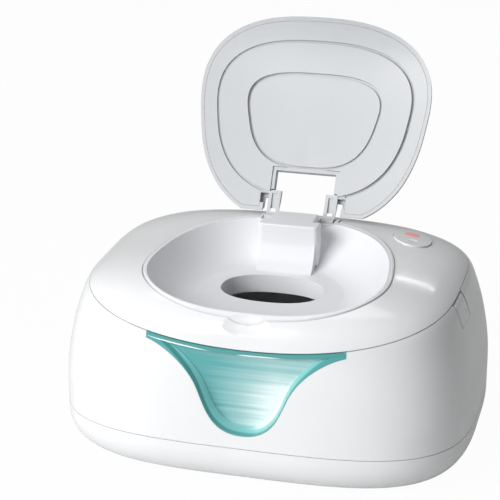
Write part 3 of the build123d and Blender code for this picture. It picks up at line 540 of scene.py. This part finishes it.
def frosted_plastic():
    """Clear plastic with a misty surface."""
    graph = Graph("frosted_clear")
    mist = graph.noise(graph.place(), scale=160.0, detail=3.0)
    return graph.principled({
        "Base Color": graph.mix(mist, (0.80, 0.86, 0.86), (0.88, 0.92, 0.92)),
        "Roughness": 0.42 + mist * 0.15,
        "IOR": 1.49,
        "Transmission Weight": 0.35,
        "Normal": graph.bump(mist, strength=0.1, distance=0.0001),
    })


def metal(name, tint, roughness, stretch=(40.0, 400.0, 400.0)):
    """Brushed metal, with its brush lines drawn out by stretch."""
    graph = Graph(name)
    place = graph.place()
    brushed = graph.noise(graph.mapped(place, stretch), detail=3.0)
    cloud = graph.noise(place, scale=120.0)
    return graph.principled({
        "Base Color": graph.mix(cloud, shaded(tint, 0.9), tint),
        "Metallic": 1.0,
        "Roughness": roughness + (brushed - 0.5) * 0.14,
        "Normal": graph.bump(brushed, strength=0.05, distance=0.00005),
    })


def soft_rubber(name, tint, roughness):
    """Rubber, silicone or the jacket of a wire."""
    graph = Graph(name)
    place = graph.place()
    cloud = graph.noise(place, scale=90.0, detail=3.0)
    grain = graph.noise(place, scale=2200.0)
    return graph.principled({
        "Base Color": graph.mix(cloud, shaded(tint, 0.82), shaded(tint, 1.1)),
        "Roughness": roughness + (cloud - 0.5) * 0.1,
        "Normal": graph.bump(grain, strength=0.2, distance=0.00008),
    })


def circuit_board():
    """Green lacquer over the glass weave, lighter over the tracks."""
    graph = Graph("circuit_board")
    place = graph.place()
    weave = graph.noise(place, scale=1500.0)
    tracks = graph.noise(graph.mapped(place, (900.0, 260.0, 260.0)), detail=1.0)
    return graph.principled({
        "Base Color": graph.mix(tracks.ramp(0.52, 0.56), (0.010, 0.11, 0.045), (0.02, 0.20, 0.085)),
        "Roughness": 0.38 + weave * 0.12,
        "Coat Weight": 0.3,
        "Normal": graph.bump(weave, strength=0.08, distance=0.00006),
    })


def heater_film():
    """Amber film with a dark heating track in each lane."""
    graph = Graph("heater_film")
    place = graph.place()
    _, y, _ = graph.axes(place)
    lane = graph.maths("FRACT", abs(y) / FILM_LANE)
    track = abs(lane - 0.5).ramp(0.22, 0.17)
    cloud = graph.noise(place, scale=100.0)
    return graph.principled({
        "Base Color": graph.mix(track, (0.42, 0.16, 0.03), (0.28, 0.12, 0.06)),
        "Roughness": 0.32 + cloud * 0.12,
        "Normal": graph.bump(track, strength=0.15, distance=0.0001),
    })


def clear_lens(name, tint, glow):
    """Clear tinted plastic, lit from inside by glow."""
    graph = Graph(name)
    cloud = graph.noise(graph.place(), scale=800.0)
    paint = graph.mix(cloud, shaded(tint, 0.82), tint)
    return graph.principled({
        "Base Color": paint,
        "Roughness": 0.16 + cloud * 0.08,
        "Transmission Weight": 0.15,
        "Coat Weight": 0.5,
        "Emission Color": paint,
        "Emission Strength": glow,
    })


def finishes(finish):
    """One material for each material slot of the part, and those of the tabs and the flip lid."""
    gloss = {"roughness": finish.shell_roughness, "coat": SHELL_COAT}
    satin = {"roughness": finish.satin_roughness, "grain": 0.05, "grain_size": 1400.0}
    matte = {"roughness": 0.52, "grain": 0.08, "grain_size": 1100.0}
    rough = {"roughness": 0.40, "grain": 0.1, "grain_size": 1500.0}
    return {
        "white_gloss": moulded_plastic("gloss_white", finish.shell, **gloss),
        "tab_white": moulded_plastic("tab_white", finish.shell, tab=True, **gloss),
        # The lid and its liner carry the lid's painted shade in their darker white.
        "lid_white": moulded_plastic("lid_white", finish.shell, shaded_lining=finish.shaded_lining, **gloss),
        "lid_lining": moulded_plastic("lid_lining", finish.shaded_lining, **satin),
        "white_satin": moulded_plastic("satin_white", finish.satin, **satin),
        "white_matte": moulded_plastic("matte_white", finish.inner, **matte),
        "black_plastic": moulded_plastic("black_plastic", (0.022, 0.022, 0.024), **rough),
        "teal_translucent": window_plastic(finish),
        "frosted_clear": frosted_plastic(),
        "foot_rubber": soft_rubber("foot_rubber", (0.16, 0.165, 0.17), roughness=0.78),
        "seal_silicone": soft_rubber("seal_silicone", (0.55, 0.57, 0.58), roughness=0.55),
        "wire_red": soft_rubber("wire_red", (0.50, 0.03, 0.03), roughness=0.45),
        "wire_black": soft_rubber("wire_black", (0.03, 0.03, 0.032), roughness=0.45),
        "steel": metal("steel", (0.58, 0.58, 0.57), roughness=0.30),
        "nickel": metal("nickel", (0.66, 0.64, 0.60), roughness=0.22),
        "contact_brass": metal("contact_brass", (0.76, 0.56, 0.27), roughness=0.26),
        "aluminium_sheet": metal("aluminium_sheet", (0.74, 0.75, 0.76), roughness=0.34,
                                 stretch=(30.0, 900.0, 900.0)),
        "heater_film": heater_film(),
        "circuit_board": circuit_board(),
        "led_amber": clear_lens("led_amber", (0.85, 0.62, 0.25), glow=0.05),
        "led_red": clear_lens("led_red", (0.75, 0.10, 0.08), glow=0.3),
        "lens_red": clear_lens("lens_red", (0.93, 0.34, 0.34), glow=0.22),
    }


# ---------------------------------------------------------------- the moulded form
def half_sizes(z):
    """Half width and half depth of the form at heights, in millimetres."""
    u = np.clip((FOOT_TOP - z) / FOOT_HEIGHT, 0.0, 1.0)
    foot = FOOT_INSET * (1.0 - np.sqrt(1.0 - u * u))
    lean = (np.maximum(0.0, z - LEAN_START) / LEAN_HEIGHT) ** 2
    over_x = np.clip((z - SHOULDER_X_START) / (DOME_TOP - SHOULDER_X_START), 0.0, CROWN_SHARE)
    over_y = np.clip((z - SHOULDER_Y_START) / (DOME_TOP - SHOULDER_Y_START), 0.0, CROWN_SHARE)
    bend_x, root_x = SHOULDER_X_POWERS
    bend_y, root_y = SHOULDER_Y_POWERS
    half_x = (HALF_WIDTH - foot - LEAN_X * lean) * (1.0 - over_x ** bend_x) ** root_x
    half_y = (HALF_DEPTH - foot - LEAN_Y * lean) * (1.0 - over_y ** bend_y) ** root_y
    return half_x, half_y


def form_value(x, y, z):
    """1 on the form, less inside and more outside."""
    half_x, half_y = half_sizes(z)
    return (np.abs(x) / half_x) ** PLAN_EXPONENT + (np.abs(y) / half_y) ** PLAN_EXPONENT


def form_normals(points, step=0.05):
    """Outward directions of the form at points, and how far the points stand off it."""
    slopes = np.empty_like(points)
    for axis in range(3):
        ahead = points.copy()
        behind = points.copy()
        ahead[:, axis] += step
        behind[:, axis] -= step
        slopes[:, axis] = (form_value(*ahead.T) - form_value(*behind.T)) / (2 * step)
    size = np.maximum(np.linalg.norm(slopes, axis=1), 1e-9)
    return slopes / size[:, None], (form_value(*points.T) - 1.0) / size


def dome_heights(x, y):
    """Height of the form over places on the ground plane."""
    low = np.full(len(x), DOME_LOWEST)
    high = np.full(len(x), DOME_TOP - DOME_CLEARANCE)
    for _ in range(DOME_STEPS):
        middle = (low + high) / 2
        inside = form_value(x, y, middle) < 1.0
        low = np.where(inside, middle, low)
        high = np.where(inside, high, middle)
    return (low + high) / 2


# ---------------------------------------------------------------- working on pieces
def only(piece):
    """Make one piece the active and only selected object."""
    bpy.ops.object.select_all(action="DESELECT")
    piece.select_set(True)
    bpy.context.view_layer.objects.active = piece


def mesh_arrays(mesh):
    """Places in millimetres, the place that each corner has, and each corner's two directions."""
    corners = len(mesh.loops)
    points = np.empty(len(mesh.vertices) * 3)
    mesh.vertices.foreach_get("co", points)
    point_of = np.empty(corners, dtype=int)
    mesh.loops.foreach_get("vertex_index", point_of)
    smooth = np.array([normal.vector[:] for normal in mesh.corner_normals])
    flat = np.empty((corners, 3))
    for face in mesh.polygons:
        flat[face.loop_start:face.loop_start + face.loop_total] = face.normal[:]
    return points.reshape(-1, 3) / MM, point_of, smooth, flat


def polish_normals(piece, swung):
    """Give the moulded faces the exact direction of the form, so that highlights run true.

    A swung piece is drawn open and lies on the form when it is shut.
    """
    points, point_of, smooth, flat = mesh_arrays(piece.data)
    turn = np.eye(3)
    if swung:
        c = math.cos(LID_OPEN)
        s = math.sin(LID_OPEN)
        turn = np.array([[1.0, 0.0, 0.0], [0.0, c, -s], [0.0, s, c]])
        pivot = np.array([0.0, *LID_AXIS])
        points = (points - pivot) @ turn.T + pivot
    result = smooth @ turn.T
    flat = flat @ turn.T
    side, off_form = form_normals(points)
    x, y, _ = points.T
    dome, _ = form_normals(np.column_stack([x, y, dome_heights(x, y)]))
    everywhere = np.ones(len(points), dtype=bool)
    for direction, allowed in ((side, np.abs(off_form) < ON_FORM), (dome, everywhere)):
        wanted = direction[point_of]
        match = np.einsum("ij,ij->i", wanted, flat)
        wanted = wanted * np.sign(match)[:, None]
        match = np.where(allowed[point_of], np.abs(match), 0.0)
        on_form = np.zeros(len(points), dtype=bool)
        on_form[point_of[match > NEARLY_ALONG]] = True
        take = on_form[point_of] & (match > FURTHER_OFF)
        result[take] = wanted[take]
    piece.data.normals_split_custom_set([tuple(row) for row in result @ turn])


def moulding(node, name, body, material, smooth_angle, swung):
    """A smooth, welded copy of a moulded part that stands for it."""
    source = frame["nodes"][node]
    piece = source.copy()
    piece.data = source.data.copy()
    piece.name = name
    piece.data.name = name
    piece.parent = None
    for key in [key for key in piece.keys() if key.startswith("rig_")]:
        del piece[key]
    bpy.context.scene.collection.objects.link(piece)
    piece.matrix_world = Matrix.Identity(4)
    only(piece)
    bpy.ops.object.mode_set(mode="EDIT")
    bpy.ops.mesh.select_all(action="SELECT")
    bpy.ops.mesh.remove_doubles(threshold=WELD_DISTANCE)
    bpy.ops.object.mode_set(mode="OBJECT")
    bpy.ops.mesh.customdata_custom_splitnormals_clear()
    bpy.ops.object.shade_smooth_by_angle(angle=smooth_angle)
    polish_normals(piece, swung)
    piece.data.materials.clear()
    piece.data.materials.append(material)
    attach(piece, body)
    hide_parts(node)


def rim_line(inset):
    """Places along the mouth of the bowl, from the hinge round to its other side, in millimetres."""
    turns = np.linspace(0.0, 2.0 * math.pi, RIM_STEPS + 1) + math.pi / 2
    c = np.cos(turns)
    s = np.sin(turns)
    across = np.sign(c) * np.abs(c) ** (2.0 / RIM_EXPONENT)
    along = np.sign(s) * np.abs(s) ** (2.0 / RIM_EXPONENT)
    x = (RIM_HALF_WIDTH - inset) * across * (1.0 - RIM_EGG * along)
    y = RIM_CENTRE_Y + (RIM_HALF_LENGTH - inset) * along
    return np.column_stack([x, y, dome_heights(x, y)])


def bead(name, points, radius, body, material):
    """A round bead along points, thinner and lower towards its two ends."""
    steps = np.linalg.norm(np.diff(points, axis=0), axis=1)
    walked = np.concatenate([[0.0], np.cumsum(steps)])
    from_end = np.minimum(walked, walked[-1] - walked)
    fullness = np.clip(from_end / BEAD_END_LENGTH, 0.0, 1.0) ** 0.5
    sunk = BEAD_SUNK + BEAD_END_SUNK * (1.0 - fullness)
    line = bpy.data.curves.new(name, "CURVE")
    line.dimensions = "3D"
    line.bevel_depth = radius
    line.bevel_resolution = 5
    line.use_fill_caps = True
    spline = line.splines.new("POLY")
    spline.points.add(len(points) - 1)
    for point, (x, y, z), down, full in zip(spline.points, points, sunk, fullness):
        point.co = (x * MM, y * MM, (z - down) * MM, 1.0)
        point.radius = BEAD_END_SHARE + (1.0 - BEAD_END_SHARE) * full
    piece = bpy.data.objects.new(name, line)
    bpy.context.scene.collection.objects.link(piece)
    only(piece)
    bpy.ops.object.convert(target="MESH")
    piece = bpy.context.object
    piece.name = name
    piece.data.name = name
    bpy.ops.object.shade_smooth_by_angle(angle=math.radians(60.0))
    piece.data.materials.clear()
    piece.data.materials.append(material)
    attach(piece, body)


def material_named(slot):
    """The material of a slot, made by the finishes operator."""
    names = bpy.context.scene.wipe_warmer_materials
    if slot not in names:
        raise RuntimeError("make the finishes first: no material for " + slot)
    return names[slot].material


# ---------------------------------------------------------------- operators
class MaterialEntry(bpy.types.PropertyGroup):
    """One material slot of the part and its material."""

    material: bpy.props.PointerProperty(
        name="Material", description="Material that this slot takes", type=bpy.types.Material
    )


class WARMER_OT_finishes(bpy.types.Operator):
    """Make one procedural material for each slot and give it to the parts"""

    bl_idname = "warmer.finishes"
    bl_label = "Finishes"

    def execute(self, context):
        scene = context.scene
        scene.wipe_warmer_materials.clear()
        made = finishes(scene.wipe_warmer_finish)
        for slot, material in made.items():
            entry = scene.wipe_warmer_materials.add()
            entry.name = slot
            entry.material = material
        for part in frame["record"]["subparts"]:
            part_object = frame["nodes"][part["node"]]
            part_object.data.materials.clear()
            part_object.data.materials.append(made[part["material_slot"]])
        return {"FINISHED"}


class MouldingOperator:
    """Shared work of the operators that stand for moulded parts.

    Each piece is given as the part's node, its own name, the body that it rides on and its slot.
    """

    pieces = ()
    material_of = {}
    swung = False

    def execute(self, context):
        smooth_angle = context.scene.wipe_warmer_finish.smooth_angle
        for node, name, body, slot in self.pieces:
            material = material_named(self.material_of.get(name, slot))
            moulding(node, name, body, material, smooth_angle, self.swung)
        return {"FINISHED"}


class WARMER_OT_housing(MouldingOperator, bpy.types.Operator):
    """Base, body shell, feet and wipe tub"""

    bl_idname = "warmer.housing"
    bl_label = "Housing"
    pieces = (
        ("base_cover", "base_shell", "body", "white_gloss"),
        ("body_shell", "housing_shell", "body", "white_gloss"),
        ("rubber_feet", "foot_pads", "body", "foot_rubber"),
        ("inner_tub", "wipe_tub", "body", "white_matte"),
    )


class WARMER_OT_window(MouldingOperator, bpy.types.Operator):
    """Night-light window and the diffuser behind it"""

    bl_idname = "warmer.window"
    bl_label = "Window"
    pieces = (
        ("window_lens", "window", "body", "teal_translucent"),
        ("light_diffuser", "diffuser", "body", "frosted_clear"),
    )


class WARMER_OT_cover(MouldingOperator, bpy.types.Operator):
    """Cover shell, dispensing bowl and the inner cover under them"""

    bl_idname = "warmer.cover"
    bl_label = "Cover"
    pieces = (
        ("cover_shell", "cover_skin", "cover", "white_gloss"),
        ("dispensing_bowl", "wipe_bowl", "cover", "white_satin"),
        ("inner_cover", "cover_underside", "cover", "white_matte"),
    )


class WARMER_OT_bead(bpy.types.Operator):
    """Polished bead round the mouth of the bowl, open at the scoop and at the hinge"""

    bl_idname = "warmer.bead"
    bl_label = "Rim bead"

    def execute(self, context):
        detail = context.scene.wipe_warmer_detail
        line = rim_line(detail.bead_inset / MM)
        x, y, _ = line.T
        kept = (np.abs(x) > BEAD_GAP) | (np.abs(y - BEAD_CENTRE_Y) < BEAD_REACH)
        for side, name in ((-1, "rim_bead_left"), (1, "rim_bead_right")):
            points = line[kept & (x * side > 0.0)]
            bead(name, points, detail.bead_radius, "cover", material_named("white_gloss"))
        return {"FINISHED"}


class WARMER_OT_lid(MouldingOperator, bpy.types.Operator):
    """Flip lid and its lining"""

    bl_idname = "warmer.lid"
    bl_label = "Flip lid"
    pieces = (
        ("lid_shell", "flip_lid", "lid", "white_gloss"),
        ("lid_liner", "flip_lid_liner", "lid", "white_satin"),
    )
    material_of = {"flip_lid": "lid_white", "flip_lid_liner": "lid_lining"}
    swung = True


class WARMER_OT_button(MouldingOperator, bpy.types.Operator):
    """Power button and its red indicator"""

    bl_idname = "warmer.button"
    bl_label = "Power button"
    pieces = (
        ("power_button", "power_key", "button", "white_gloss"),
        ("button_lens", "power_indicator", "button", "lens_red"),
    )


class WARMER_OT_tabs(MouldingOperator, bpy.types.Operator):
    """Release tabs at the two ends"""

    bl_idname = "warmer.tabs"
    bl_label = "Release tabs"
    pieces = (
        ("release_tab_left", "tab_cap_left", "tab_left", "white_gloss"),
        ("release_tab_right", "tab_cap_right", "tab_right", "white_gloss"),
    )
    material_of = {"tab_cap_left": "tab_white", "tab_cap_right": "tab_white"}


class WARMER_OT_stage(bpy.types.Operator):
    """Floor, surroundings, lamps and camera"""

    bl_idname = "warmer.stage"
    bl_label = "Stage"

    def execute(self, context):
        settings = context.scene.wipe_warmer_stage
        stage = [
            self.floor(),
            self.lamp("key_lamp", settings.key_power, place=(-1.02, -1.42, 0.92), size=(1.3, 1.3)),
            self.lamp("top_lamp", settings.top_power, place=(-0.15, 0.15, 1.55), size=(1.1, 0.8)),
            self.lamp("strip_lamp", settings.strip_power, place=(0.16, 1.30, 0.78), size=(0.36, 0.05)),
            self.camera(settings),
        ]
        self.surroundings(settings)
        return {"FINISHED"}

    @staticmethod
    def floor():
        bpy.ops.mesh.primitive_plane_add(size=FLOOR_SIZE, location=(0.0, 0.0, 0.0))
        floor = bpy.context.object
        floor.name = "floor"
        graph = Graph("floor_white")
        cloud = graph.noise(graph.place(), scale=2.0)
        paint = graph.mix(cloud, (0.70, 0.70, 0.70), (0.74, 0.74, 0.74))
        matt = graph.add("ShaderNodeBsdfDiffuse", {}, {"Color": paint})
        white = graph.add("ShaderNodeEmission", {}, {"Color": (1.0, 1.0, 1.0, 1.0), "Strength": 1.0})
        amount = graph.seen_share(MIRRORED_SHARE) * FLOOR_WHITENESS
        graph.blend(amount, matt, white, "ShaderNodeOutputMaterial")
        floor.data.materials.append(graph.material)
        return floor

    @staticmethod
    def lamp(name, watts, place, size):
        """A rectangular lamp that faces the object."""
        data = bpy.data.lights.new(name, "AREA")
        data.shape = "RECTANGLE"
        data.size, data.size_y = size
        data.energy = watts
        lamp = bpy.data.objects.new(name, data)
        bpy.context.scene.collection.objects.link(lamp)
        lamp.location = place
        lamp.rotation_euler = (Vector(LAMP_AIM) - lamp.location).to_track_quat("-Z", "Y").to_euler()
        return lamp

    @staticmethod
    def camera(settings):
        data = bpy.data.cameras.new("camera")
        data.lens = settings.focal_length
        data.sensor_width = 36.0
        data.clip_end = 20.0
        camera = bpy.data.objects.new("camera", data)
        bpy.context.scene.collection.objects.link(camera)
        camera.location = CAMERA_PLACE
        camera.rotation_euler = [math.radians(turn) for turn in CAMERA_TURN]
        bpy.context.scene.camera = camera
        return camera

    @staticmethod
    def surroundings(settings):
        """A room that lights the object dimly and looks white to the camera."""
        world = bpy.data.worlds.new("surroundings")
        bpy.context.scene.world = world
        world.use_nodes = True
        graph = Graph("surroundings", world.node_tree)
        white = (1.0, 1.0, 1.0, 1.0)
        room = graph.add("ShaderNodeBackground", {}, {"Color": white, "Strength": settings.surroundings})
        plain = graph.add("ShaderNodeBackground", {}, {"Color": white, "Strength": 1.0})
        graph.blend(graph.seen_share(MIRRORED_SHARE), room, plain, "ShaderNodeOutputWorld")
        bpy.context.scene.view_settings.view_transform = "Standard"


class WARMER_PT_panel(bpy.types.Panel):
    """Buttons and settings of the wipe warmer"""

    bl_idname = "WARMER_PT_panel"
    bl_label = "Wipe Warmer"
    bl_space_type = "VIEW_3D"
    bl_region_type = "UI"
    bl_category = "Wipe Warmer"

    def draw(self, context):
        layout = self.layout
        scene = context.scene
        for title, group in (
            ("Finish", scene.wipe_warmer_finish),
            ("Details", scene.wipe_warmer_detail),
            ("Stage", scene.wipe_warmer_stage),
        ):
            box = layout.box()
            box.label(text=title)
            for name in group.__annotations__:
                box.prop(group, name)
        for operator in OPERATORS:
            layout.operator(operator.bl_idname)


OPERATORS = (
    WARMER_OT_finishes,
    WARMER_OT_housing,
    WARMER_OT_window,
    WARMER_OT_cover,
    WARMER_OT_bead,
    WARMER_OT_lid,
    WARMER_OT_button,
    WARMER_OT_tabs,
    WARMER_OT_stage,
)
GROUPS = (WarmerFinishSettings, WarmerDetailSettings, WarmerStageSettings, MaterialEntry)
CLASSES = GROUPS + OPERATORS + (WARMER_PT_panel,)


def register():
    for item in CLASSES:
        bpy.utils.register_class(item)
    scene = bpy.types.Scene
    scene.wipe_warmer_finish = bpy.props.PointerProperty(type=WarmerFinishSettings)
    scene.wipe_warmer_detail = bpy.props.PointerProperty(type=WarmerDetailSettings)
    scene.wipe_warmer_stage = bpy.props.PointerProperty(type=WarmerStageSettings)
    scene.wipe_warmer_materials = bpy.props.CollectionProperty(type=MaterialEntry)


def unregister():
    del bpy.types.Scene.wipe_warmer_materials
    del bpy.types.Scene.wipe_warmer_stage
    del bpy.types.Scene.wipe_warmer_detail
    del bpy.types.Scene.wipe_warmer_finish
    for item in reversed(CLASSES):
        bpy.utils.unregister_class(item)


def main():
    """Run every step in order."""
    register()
    bpy.ops.warmer.finishes()
    bpy.ops.warmer.housing()
    bpy.ops.warmer.window()
    bpy.ops.warmer.cover()
    bpy.ops.warmer.bead()
    bpy.ops.warmer.lid()
    bpy.ops.warmer.button()
    bpy.ops.warmer.tabs()
    bpy.ops.warmer.stage()


if __name__ == "__main__":
    main()
